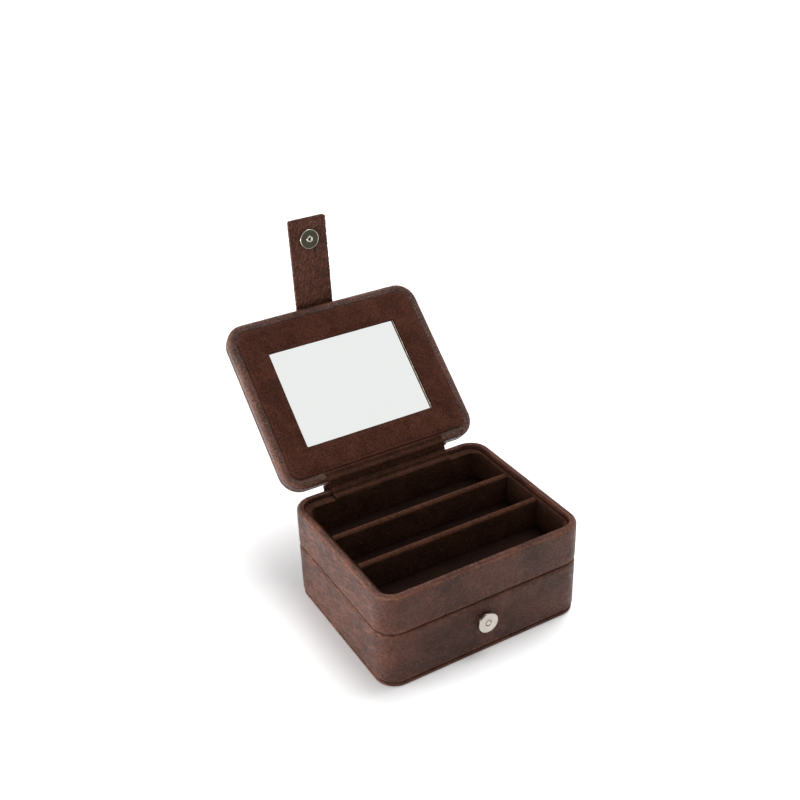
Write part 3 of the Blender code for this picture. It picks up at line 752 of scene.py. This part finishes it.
def stud_holes(node, places):
    """The pierced ear-stud holes in a divider's front face: a small raised lip round a dark hole, the lip's
    suede coloured lighter as a painted highlight.
    """
    low, high = (Vector(corner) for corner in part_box(node))
    for number, x in enumerate(places):
        centre = Vector((x * MM, low.y - 0.02 * MM, high.z - STUD_DROP))
        profile = [(0.30 * MM, 0.25 * MM), (0.85 * MM, 0.25 * MM), (0.80 * MM, -0.10 * MM),
                   (0.62 * MM, -0.22 * MM), (0.42 * MM, -0.16 * MM), (0.32 * MM, 0.05 * MM)]
        turned(f"{node}_stud_hole_{number + 1}", profile, centre, (0, 1, 0), HOLE_LIP_PAINTED_HIGHLIGHT, "tray", steps=20)


bottom_panels()
tiers()
for node_name, owner, direction in (("divider_rear", "tray", "X"), ("divider_front", "tray", "X"),
                                    ("lower_long_divider", "base", "X"),
                                    ("lower_cross_divider", "base", "Y")):
    divider(node_name, owner, direction)
stud_holes("divider_rear", REAR_STUDS)
stud_holes("divider_front", FRONT_STUDS)


# ---- lid

def lid_frame():
    """The lid's rim, with the small pleats that the leather draws where it turns over the edge."""
    profile = [(PAD_INSET - 0.3 * MM, 0.35 * MM, 0.0), (PAD_INSET - 1.3 * MM, 0.08 * MM, 0.0)]
    profile += worn_arc((LID_FACE_ROUND, LID_FACE_ROUND), LID_FACE_ROUND, 270, 180, 14, 228, 0.8, 28)
    profile += worn_arc((1.4 * MM, LID_FRAME - 1.4 * MM), 1.4 * MM, 180, 90, 8, 140, 0.6)
    profile += [(PAD_INSET, LID_FRAME, 0.0), (PAD_INSET, LID_FRAME - LID_SKIN, 0.0)]
    profile += [(2 * LID_SKIN, LID_FRAME - LID_SKIN, 0.0), (LID_SKIN, LID_FRAME - 2 * LID_SKIN, 0.0)]
    profile += with_wear(arc((LID_FACE_ROUND, LID_FACE_ROUND), LID_FACE_ROUND - LID_SKIN, 180, 270, 6), 0.0)
    profile += [(PAD_INSET - 0.3 * MM, LID_SKIN + 0.3 * MM, 0.0)]
    profile = densified(profile, 1.1 * MM)
    edge = lid_outline(0, LID_SIDE_STEPS, LID_CORNER_STEPS)
    run = np.concatenate([[0], np.cumsum(np.linalg.norm(np.diff(edge, axis=0), axis=1))])
    past_x = np.abs(edge[:, 0]) - WIDTH / 2 + CORNER_RADIUS
    past_v = np.abs(edge[:, 1] - LID_LENGTH / 2) - LID_LENGTH / 2 + CORNER_RADIUS
    depth = np.where(np.minimum(past_x, past_v) > 0, 0.62, 0.36) * MM
    rings = []
    for inset, t, _ in profile:
        pleats = []
        outline = lid_outline(inset, LID_SIDE_STEPS, LID_CORNER_STEPS)
        for index in range(len(outline)):
            wave = abs(noise.noise((run[index] / (1.7 * MM), inset / (4 * MM), 0)))
            wave += 0.7 * abs(noise.noise((run[index] / (0.9 * MM), inset / (2.2 * MM), 9)))
            pleats.append(t + max(0.0, wave - 0.12) * depth[index] * (1 if t < LID_FACE_ROUND else 0))
        rings.append([on_lid([point], pleat)[0] for point, pleat in zip(outline, pleats)])
    rim = loft("lid_rim_leather", rings, LID_LEATHER, "lid", closed=True, wear_and_light=[p[2] for p in profile])
    uneven(rim, 0.09 * MM, 14 * MM, 3.0)
    uneven(rim, 0.05 * MM, 2.6 * MM, 5.0)
    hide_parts("lid_frame_leather")


def lid_back():
    """The leather-wrapped outer panel, softly crowned."""
    radius = 1.2 * MM
    low = LID_FRAME + 0.6 * MM
    profile = [(30 * MM, low, 0.0), (8 * MM, low, 0.0)]
    profile += with_wear(arc((0.2 * MM + radius, low + radius), radius, 270, 180, 6), 0.5)
    profile += with_wear(arc((0.2 * MM + radius, LID_THICKNESS - radius), radius, 180, 90, 6), 0.75)
    for share in np.linspace(0.1, 1, 10):
        profile.append((1.4 * MM + share * 54 * MM, LID_THICKNESS + 0.25 * MM * sin(share * pi / 2), 0.0))
    rings = [on_lid(lid_outline(inset), t) for inset, t, _ in profile]
    panel = loft("lid_back_leather", rings, LID_LEATHER, "lid", wear_and_light=[p[2] for p in profile])
    uneven(panel, 0.05 * MM, 24 * MM, 8.0)
    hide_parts("lid_outer_panel")


def mirror_outline():
    """The opening over the mirror, with nearly square corners."""
    half_width, half_length = MIRROR_OPENING[0] / 2, MIRROR_OPENING[1] / 2
    low = (MIRROR_CENTRE_X - half_width, LID_LENGTH / 2 - half_length)
    high = (MIRROR_CENTRE_X + half_width, LID_LENGTH / 2 + half_length)
    return rounded_rectangle(low, high, 0.7 * MM)


def lid_pad():
    """The padded suede face: soft at its outer edge, folded crisply into the mirror's opening."""
    outer = lid_outline(PAD_INSET)
    inner = mirror_outline()
    rings, wears = [], []

    def add(share, t, wear_and_light=0.0):
        rings.append(on_lid(outer + (inner - outer) * share, t))
        wears.append(wear_and_light)

    add(0.0, 0.9 * MM)
    add(0.0, 0.2 * MM)
    for step in range(1, 9):
        turn = step / 8 * pi / 2
        add(0.055 * (1 - cos(turn)), 0.2 * MM - (0.2 * MM + PAD_PROUD) * sin(turn), 0.25)
    for share in np.linspace(0.09, 0.955, 22):
        swell = 0.16 * MM * sin(pi * (share - 0.055) / 0.93)
        add(share, -PAD_PROUD - swell)
    for step in range(0, 6):
        turn = step / 5 * pi / 2
        add(0.975 + 0.025 * sin(turn), -PAD_PROUD + 0.45 * MM * (1 - cos(turn)), 0.15)
    add(1.0, 0.9 * MM)
    pad = loft("lid_suede_pad", rings, LID_SUEDE, "lid", closed=True, wear_and_light=wears)
    stuffed(pad, 0.25 * MM)
    uneven(pad, 0.07 * MM, 12 * MM, 11.0)
    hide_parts("lid_pad")


def mirror():
    """The glass as the frame has it, the ground edge that shows at the right of its opening, and a dark strip
    beside that edge as a painted shadow.
    """
    right = MIRROR_CENTRE_X + MIRROR_OPENING[0] / 2
    low, high = (LID_LENGTH - MIRROR_OPENING[1]) / 2, (LID_LENGTH + MIRROR_OPENING[1]) / 2
    ground = ((-1.1, 1.25), (-0.55, 1.25), (-0.55, 0.75), (-0.7, 0.6), (-0.95, 0.8))
    # Painted shadow: a dark strip of edge paint beside the ground edge, where shade falls.
    shadow_strip = ((-1.7, 1.25), (-1.15, 1.25), (-1.15, 0.95), (-1.3, 0.9), (-1.6, 1.0))
    for name, material, section in (("mirror_ground_edge", GLASS_EDGE, ground),
                                    ("mirror_edge_painted_shadow", EDGE_PAINT_AND_SHADOW, shadow_strip)):
        rings = []
        for v in np.linspace(low + 0.6 * MM, high - 0.6 * MM, 60):
            rings.append([on_lid([(right + x * MM, v)], t * MM)[0] for x, t in section])
        uneven(loft(name, rings, material, "lid"), 0.03 * MM, 3 * MM, 21.0)
    glass = frame["nodes"]["mirror"]
    glass.data.materials.clear()
    glass.data.materials.append(MIRROR)


lid_frame()
lid_back()
lid_pad()
mirror()


# ---- hinge pieces

def smooth_path(points, spacing):
    """A smooth curve through points (Catmull-Rom), resampled to an even spacing."""
    points = [np.array(p, float) for p in points]
    padded = [2 * points[0] - points[1]] + points + [2 * points[-1] - points[-2]]
    dense = []
    for a, b, c, d in zip(padded, padded[1:], padded[2:], padded[3:]):
        for t in np.linspace(0, 1, 30, endpoint=False):
            dense.append(0.5 * (2 * b + (c - a) * t + (2 * a - 5 * b + 4 * c - d) * t ** 2
                                + (3 * b - a - 3 * c + d) * t ** 3))
    dense.append(points[-1])
    dense = np.array(dense)
    lengths = np.concatenate([[0], np.cumsum(np.linalg.norm(np.diff(dense, axis=0), axis=1))])
    count = max(4, int(lengths[-1] / spacing))
    even = np.linspace(0, lengths[-1], count + 1)
    return np.column_stack([np.interp(even, lengths, dense[:, k]) for k in range(2)]), even


def lid_yz(v, t):
    """The world's (y, z) of a place on the open lid."""
    place = on_lid([(0, v)], t)[0]
    return (place.y, place.z)


def hinge_leather():
    """The leather that carries the lid, from the back of the tray up to the lid's hinge edge."""
    rear = DEPTH / 2 + 0.3 * MM
    top = TRAY_HIGH[2]
    path, _ = smooth_path([(rear, top - 12 * MM), (rear, top - 7 * MM), (rear + 0.05 * MM, top - 3.6 * MM),
                           (rear + 0.5 * MM, top - 0.6 * MM), lid_yz(-1.75 * MM, 6.6 * MM),
                           lid_yz(-1.9 * MM, 4.4 * MM), lid_yz(-1.7 * MM, 2.6 * MM),
                           lid_yz(-1.3 * MM, 1.2 * MM)], 0.4 * MM)
    strip = band("lid_hinge_leather_strip", path, CASE_LEATHER, HINGE_LEATHER_WIDTH, 1.0 * MM, columns=70)
    uneven(strip, 0.06 * MM, 6 * MM, 2.0)
    # Painted light: where the strip rises above the tray's rim into the shade under the lid's edge, it is
    # marked as rubbed, which colours it the lighter worn leather.
    heights = np.array([vertex.co.z for vertex in strip.data.vertices])
    set_wear_and_light(strip.data, np.clip((heights - top) / (1.5 * MM), 0, 1))
    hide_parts("lid_hinge_leather")
    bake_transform(strip)


def hinge_lining():
    """The suede from under the lid's pad over the tray's rear wall to the edge of the rear channel."""
    ledge = TRAY_LINING_HIGH[2]
    inner = DEPTH / 2 - RIM
    top = TRAY_HIGH[2]
    path, lengths = smooth_path([
        (DEPTH / 2 - REAR_LINING + 0.3 * MM, ledge + 0.9 * MM),
        (DEPTH / 2 - REAR_LINING + 1.8 * MM, ledge + 1.6 * MM),
        (inner - 2.2 * MM, ledge + 1.9 * MM), (inner - 0.9 * MM, ledge + 3.4 * MM),
        (inner + 0.2 * MM, top + 1.75 * MM), (inner + 1.8 * MM, top + 2.5 * MM),
        lid_yz(-2.6 * MM, 0.4 * MM), lid_yz(-1.2 * MM, -1.0 * MM), lid_yz(0.6 * MM, -1.3 * MM),
        lid_yz(PAD_INSET - 2.2 * MM, -1.15 * MM), lid_yz(PAD_INSET - 0.3 * MM, -0.6 * MM)], 0.25 * MM)
    slopes = np.gradient(path, axis=0)
    slopes /= np.linalg.norm(slopes, axis=1)[:, None]
    fade = np.clip(np.minimum(lengths, lengths[-1] - lengths) / (2 * MM), 0, 1)
    ridges = 0.36 * MM * np.sin(2 * pi * lengths / (lengths[-1] / 4.5)) * fade
    path = path + np.column_stack([-slopes[:, 1], slopes[:, 0]]) * ridges[:, None]
    strip = band("lid_hinge_suede", path, HINGE_SUEDE, HINGE_LINING_WIDTH, 0.8 * MM, columns=60)
    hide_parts("lid_hinge_lining")
    uneven(strip, 0.10 * MM, 7 * MM, 4.0)
    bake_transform(strip)


def spine():
    """The leather across the back of both tiers, on which the tray turns, sewn down along its ends."""
    low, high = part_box("spine_leather")
    rear = low[1]
    path, lengths = smooth_path([(rear, low[2]), (rear, TRAY_PIVOT.z - 4 * MM), (rear, TRAY_PIVOT.z + 4 * MM),
                                 (rear, high[2])], 0.5 * MM)
    taper = 0.45 + 0.55 * np.clip(np.minimum(lengths, lengths[-1] - lengths) / (2.5 * MM), 0, 1)
    strip = band("spine_leather_strip", path, CASE_LEATHER, HINGE_LEATHER_WIDTH, 1.0 * MM,
                 ends=rounded_ends(lengths, HINGE_LEATHER_WIDTH, 3 * MM), columns=70, taper=taper)
    uneven(strip, 0.05 * MM, 9 * MM, 6.0)
    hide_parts("spine_leather")
    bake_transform(strip)
    across = np.arange(-STITCH_ROW_END, STITCH_ROW_END + 0.1 * MM, STITCH_SPACING)
    for row, z, body in (("lower", low[2] + STITCH_INSET, "base"), ("upper", high[2] - STITCH_INSET, "tray")):
        places = [(x, rear + 1.0 * MM, z) for x in across]
        stitches(f"spine_{row}_stitches", places, (1, 0, 0), (0, 1, 0), body, THREAD)


hinge_leather()
hinge_lining()
spine()


# ---- strap

def strap_path():
    """The strap's middle line in (y, z), from inside the lid round its fold to the tip."""
    tangent_length = STRAP_FOLD_RADIUS * np.tan(STRAP_REST / 2)
    pivot = np.array((STRAP_PIVOT.y, STRAP_PIVOT.z))
    into = np.array((cos(LID_SLOPE), sin(LID_SLOPE)))
    rest = LID_SLOPE + STRAP_REST
    away = np.array((cos(rest), sin(rest)))
    start = pivot - into * STRAP_ANCHOR
    bend_from = pivot - into * tangent_length
    centre = bend_from + STRAP_FOLD_RADIUS * np.array((-into[1], into[0]))
    points = [start + (bend_from - start) * k / 12 for k in range(12)]
    for k in range(13):
        angle = LID_SLOPE - pi / 2 + STRAP_REST * k / 12
        points.append(centre + STRAP_FOLD_RADIUS * np.array((cos(angle), sin(angle))))
    bend_to = points[-1]
    tip = pivot + away * STRAP_TIP
    steps = 130
    for k in range(1, steps + 1):
        points.append(bend_to + (tip - bend_to) * k / steps)
    return np.array(points)


def strap_half_width(path):
    """Half the strap's width at each point, narrowing round its tip's corners."""
    halves = []
    tip = path[-1]
    for point in path:
        left = np.linalg.norm(tip - point)
        half = STRAP_WIDTH / 2
        if left < STRAP_TIP_ROUND:
            half -= STRAP_TIP_ROUND - sqrt(max(0, STRAP_TIP_ROUND ** 2 - (STRAP_TIP_ROUND - left) ** 2))
        halves.append(half)
    return halves


def with_tip_points(path):
    """Adds points near the tip, so that its corners come out round."""
    direction = (path[-1] - path[-2]) / np.linalg.norm(path[-1] - path[-2])
    kept = [p for p in path if np.linalg.norm(path[-1] - p) > STRAP_TIP_ROUND]
    backs = [STRAP_TIP_ROUND * (1 - sin(turn)) for turn in np.linspace(0.05, pi / 2, 10)]
    return np.array(kept + [path[-1] - direction * back for back in backs])


def strap():
    """Two layers of leather with a painted core between them, all bending at the fold."""
    path = with_tip_points(strap_path())
    halves = strap_half_width(path)
    normals = []
    for index in range(len(path)):
        before, after = path[max(index - 1, 0)], path[min(index + 1, len(path) - 1)]
        along = (after - before) / np.linalg.norm(after - before)
        normals.append(np.array((along[1], -along[0])))
    normals = np.array(normals)
    for name, shift, node in (("strap_inner", -STRAP_GAP / 2 - STRAP_LAYER, "strap_inner_leather"),
                              ("strap_outer", STRAP_GAP / 2, "strap_outer_leather")):
        moved = path + normals * shift
        layer = band(name, moved, STRAP_LEATHER, STRAP_WIDTH, STRAP_LAYER, ends=halves, columns=64,
                     middle=STRAP_X)
        uneven(layer, 0.05 * MM, 5 * MM, 9.0)
        wrinkled(layer, 0.8 * MM if name == "strap_inner" else 0.4 * MM)
        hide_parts(node, *(["strap_anchor"] if name == "strap_outer" else []))
        bend_strap(layer)
    core_halves = [half - 0.12 * MM for half in halves]
    core_path = (path - normals * (STRAP_GAP / 2 + 0.2 * MM))[:-1]
    core = band("strap_painted_edge", core_path, EDGE_PAINT_AND_SHADOW, STRAP_WIDTH, STRAP_GAP + 0.4 * MM,
                ends=core_halves[:-1], columns=16, middle=STRAP_X)
    bend_strap(core)


def bend_strap(piece):
    """Bakes a strap piece's placement into its mesh."""
    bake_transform(piece)


strap()


# ---- snap

def case_snap():
    """The magnetic half on the lower tier: a cup, a face disc and its centre peg, outwards from the front."""
    front = Vector((SNAP_CENTRE.x, LOWER_LOW[1], SNAP_CENTRE.z))
    out = Vector((0, -1, 0))
    cup = [(0.4 * MM, 0.1 * MM), (CUP_RADIUS - 0.2 * MM, 0.1 * MM), (CUP_RADIUS, 0.4 * MM),
           (CUP_RADIUS, CUP_TOP - 0.4 * MM), (CUP_RADIUS - 0.3 * MM, CUP_TOP), (0.4 * MM, CUP_TOP)]
    body = turned("snap_magnet_cup", cup, front, out, BRIGHT_NICKEL, "base")
    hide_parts("snap_cup")
    near, far = 3.0 * MM, 3.9 * MM
    radius, hole = SNAP_RADIUS, 2.3 * MM
    soft = 0.35 * MM
    plate = [(hole, near), (radius - soft, near)]
    plate += arc((radius - soft, near + soft), soft, -90, 0, 4)[1:]
    plate += arc((radius - soft, far - soft), soft, 0, 90, 5)
    plate += [(radius - 0.9 * MM, far - 0.06 * MM), (hole + 0.5 * MM, far - 0.06 * MM),
              (hole + 0.2 * MM, far - 0.14 * MM), (hole, far - 0.4 * MM)]
    disc = turned("snap_face_disc", plate, front, out, SATIN_NICKEL, "base")
    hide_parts("snap_face_plate")
    peg = [(0.05 * MM, CUP_TOP), (PEG_RADIUS, CUP_TOP), (PEG_RADIUS, 3.45 * MM),
           (PEG_RADIUS - 0.15 * MM, 3.65 * MM), (1.1 * MM, 3.72 * MM), (0.8 * MM, 3.6 * MM),
           (0.05 * MM, 3.55 * MM)]
    turned("snap_centre_peg", peg, front, out, BRIGHT_NICKEL, "base", steps=32)


def strap_snap():
    """The strap's half: a dished disc, coloured dark as a painted reflection of dark surroundings, in a
    bright rim, with the tubular rivet through it.
    """
    rest = LID_SLOPE + STRAP_REST
    away = Vector((0, cos(rest), sin(rest)))
    face = Vector((0, -sin(rest), cos(rest)))
    middle = Vector((STRAP_X, *STRAP_PIVOT.yz))
    centre = middle + away * STRAP_SNAP + face * (STRAP_GAP / 2 + STRAP_LAYER)
    rim = SNAP_RADIUS
    base, top = 0.25 * MM, 1.7 * MM
    lip = 0.6 * MM
    dish = [(1.7 * MM, base), (rim - lip, base), (rim - lip, top - 0.22 * MM), (1.7 * MM, top - 0.22 * MM)]
    disc = turned("strap_snap_face", dish, centre, face, NICKEL_PAINTED_DARK_REFLECTION, "strap")
    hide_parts("strap_snap_disc")
    ring = [(rim - lip + 0.05 * MM, base), (rim - 0.3 * MM, base)]
    ring += arc((rim - 0.3 * MM, base + 0.3 * MM), 0.3 * MM, -90, 0, 4)
    ring += arc((rim - 0.35 * MM, top - 0.35 * MM), 0.35 * MM, 0, 90, 5)
    ring += [(rim - 0.5 * MM, top - 0.05 * MM), (rim - lip + 0.05 * MM, top - 0.2 * MM)]
    turned("strap_snap_rim", ring, centre, face, BRIGHT_NICKEL, "strap")
    rivet = [(0.75 * MM, base), (1.6 * MM, base), (1.6 * MM, top), (2.35 * MM, top),
             (2.45 * MM, top + 0.2 * MM), (2.25 * MM, top + 0.45 * MM), (1.8 * MM, top + 0.55 * MM),
             (1.3 * MM, top + 0.4 * MM), (0.95 * MM, top + 0.1 * MM), (0.75 * MM, top - 0.4 * MM)]
    tube = turned("strap_snap_tube", rivet, centre, face, BRIGHT_NICKEL, "strap", steps=48)
    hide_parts("strap_snap_rivet")


case_snap()
strap_snap()


# ---- ring rolls

def ring_roll(number):
    """A foam roll in suede: a fat D in section, drawn in a little at its ends."""
    node = f"ring_roll_{number}"
    low, high = (Vector(corner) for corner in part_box(node))
    middle_y = (low.y + high.y) / 2
    half = (high.y - low.y) / 2 - ROLL_GAP
    rings = []
    for x in np.linspace(low.x + ROLL_GAP, high.x - ROLL_GAP, 60):
        from_end = min(x - low.x, high.x - x)
        draw = 1 - 0.10 * (1 - min(1, from_end / ROLL_DRAWN_END)) ** 2
        section = [(-half * 0.82, low.z), (half * 0.82, low.z), (half * 0.96, low.z + ROLL_FOOT)]
        section += arc((0, high.z - half), half, 0, 180, 26)
        section += [(-half * 0.96, low.z + ROLL_FOOT)]
        rings.append([(x, middle_y + y * draw, low.z + (z - low.z) * draw) for y, z in section])
    roll = loft(node + "_suede", rings, LOWER_SUEDE, "base")
    stuffed(roll, 0.5 * MM)
    uneven(roll, 0.16 * MM, 8 * MM, number * 3.1)
    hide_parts(node)


for roll_number in range(1, ROLL_COUNT + 1):
    ring_roll(roll_number)


# ---- what stays of CAD

for node_name, better in (("lower_wall_board", BOARD), ("tray_wall_board", BOARD), ("lid_board", BOARD),
                          ("mirror_adhesive", BOARD), ("snap_washer", SATIN_NICKEL)):
    kept = frame["nodes"][node_name]
    kept.data.materials.clear()
    kept.data.materials.append(better)


# ---- floor, light, camera

def studio():
    """A white surround, a pale floor, a wide sun, a low card at the left and a box above the front."""
    world = bpy.data.worlds.new("studio")
    bpy.context.scene.world = world
    world.use_nodes = True
    background = world.node_tree.nodes["Background"]
    background.inputs["Color"].default_value = (1.0, 1.0, 1.0, 1)
    background.inputs["Strength"].default_value = WORLD_STRENGTH

    floor = Shader("paper_sweep")
    paper = floor.mix(floor.noise(3), (0.90, 0.90, 0.90, 1), (0.92, 0.92, 0.92, 1))
    floor.set(Base_Color=paper, Roughness=0.95, Specular_IOR_Level=0.1, Emission_Color=(1, 1, 1, 1),
              Emission_Strength=FLOOR_GLOW)
    corners = [(FLOOR_HALF * x, FLOOR_HALF * y, 0) for x, y in ((-1, -1), (1, -1), (1, 1), (-1, 1))]
    make("floor", corners, [(0, 1, 2, 3)], floor.material)

    sun = bpy.data.lights.new("key", "SUN")
    sun.energy = KEY_POWER
    sun.angle = KEY_SPREAD
    key = bpy.data.objects.new("key", sun)
    bpy.context.scene.collection.objects.link(key)
    key.rotation_euler = KEY_DIRECTION.to_track_quat("-Z", "Y").to_euler()

    for name, place, aim, power, width, height in (
            ("left_card", (-0.80, 0.18, 0.11), (0, 0.05, 0.08), 9.5, 1.0, 0.2),
            ("high_box", (0.50, -0.55, 1.10), (0, 0.08, 0.1), 2.1, 1.2, 1.2)):
        panel = bpy.data.lights.new(name, "AREA")
        panel.energy = power
        panel.shape = "RECTANGLE"
        panel.size, panel.size_y = width, height
        light = bpy.data.objects.new(name, panel)
        bpy.context.scene.collection.objects.link(light)
        light.location = place
        light.rotation_euler = (Vector(aim) - light.location).to_track_quat("-Z", "Y").to_euler()


def camera():
    """A camera in front and to the left, above the case and rolled a little."""
    level = cos(CAMERA_ELEVATION)
    back = Vector((sin(CAMERA_AZIMUTH) * level, -cos(CAMERA_AZIMUTH) * level, sin(CAMERA_ELEVATION)))
    right = Vector((cos(CAMERA_AZIMUTH), sin(CAMERA_AZIMUTH), 0))
    up = back.cross(right)
    turned_right = right * cos(CAMERA_ROLL) + up * sin(CAMERA_ROLL)
    turned_up = up * cos(CAMERA_ROLL) - right * sin(CAMERA_ROLL)
    data = bpy.data.cameras.new("camera")
    data.lens = CAMERA_LENS
    data.sensor_width = 36
    data.clip_start = 0.01
    made = bpy.data.objects.new("camera", data)
    bpy.context.scene.collection.objects.link(made)
    columns = Matrix((turned_right, turned_up, back)).transposed()
    made.matrix_world = Matrix.Translation(CAMERA_TARGET + back * CAMERA_DISTANCE) @ columns.to_4x4()
    bpy.context.scene.camera = made


studio()
camera()
bpy.context.scene.view_settings.view_transform = "Standard"
